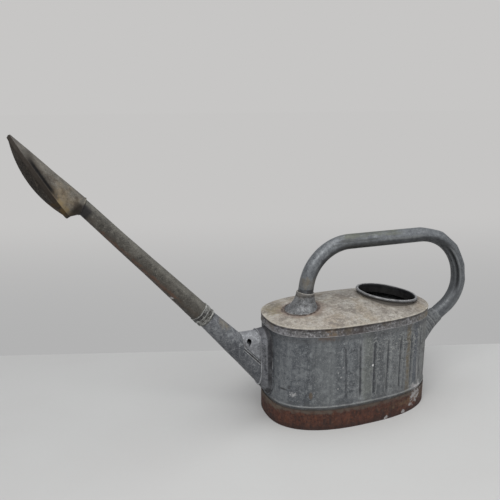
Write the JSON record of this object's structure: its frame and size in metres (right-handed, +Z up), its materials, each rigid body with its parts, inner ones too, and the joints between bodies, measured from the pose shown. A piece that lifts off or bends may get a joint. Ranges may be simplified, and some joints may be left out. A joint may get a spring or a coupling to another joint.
{
  "type": "watering can",
  "caption": "Weathered zinc watering can with an oval ribbed body, a long spout ending in an oval rose, and a bent tube handle.",
  "frame": {"origin": "middle of the can's whole outline, on the floor under it", "axes": "+Z up, -X towards the spout and its rose, +X towards the handle's rear bend, Y across the can"},
  "size_m": [0.7904, 0.1882, 0.4979],
  "materials": {
    "wall_zinc": "blue-grey weathered zinc with upright streaks",
    "rusty_steel": "deep red-brown rust",
    "bottom_zinc": "dull stained zinc",
    "top_zinc": "pale warm grey weathered zinc with ochre stains",
    "rim_zinc": "pale worn rolled rim, dark inside",
    "cone_zinc": "blue-grey mottled zinc",
    "saddle_zinc": "light grey zinc with solder seams",
    "root_zinc": "dark grey zinc",
    "pipe_zinc": "dark olive-grey zinc, rust-brown underneath",
    "solder": "lumpy tarnished solder",
    "rose_zinc": "olive-grey zinc with golden-brown stains",
    "rose_face_zinc": "dark stained zinc",
    "handle_zinc": "smooth blue-grey zinc, worn by hands",
    "front_socket_zinc": "blue-grey mottled zinc",
    "rear_socket_zinc": "grey zinc with ring marks"
  },
  "bodies": {
    "root": {"side_wall": "wall_zinc", "foot_band": "rusty_steel", "bottom_plate": "bottom_zinc", "top_plate": "top_zinc", "filler_collar": "rim_zinc", "spout_cone": "cone_zinc", "spout_saddle": "saddle_zinc", "spout_root_collar": "root_zinc", "spout_pipe": "pipe_zinc", "spout_solder_ring": "solder", "rose_hood": "rose_zinc", "rose_plate": "rose_face_zinc", "handle_tube": "handle_zinc", "front_socket": "front_socket_zinc", "rear_socket": "rear_socket_zinc"}
  },
  "joints": []
}
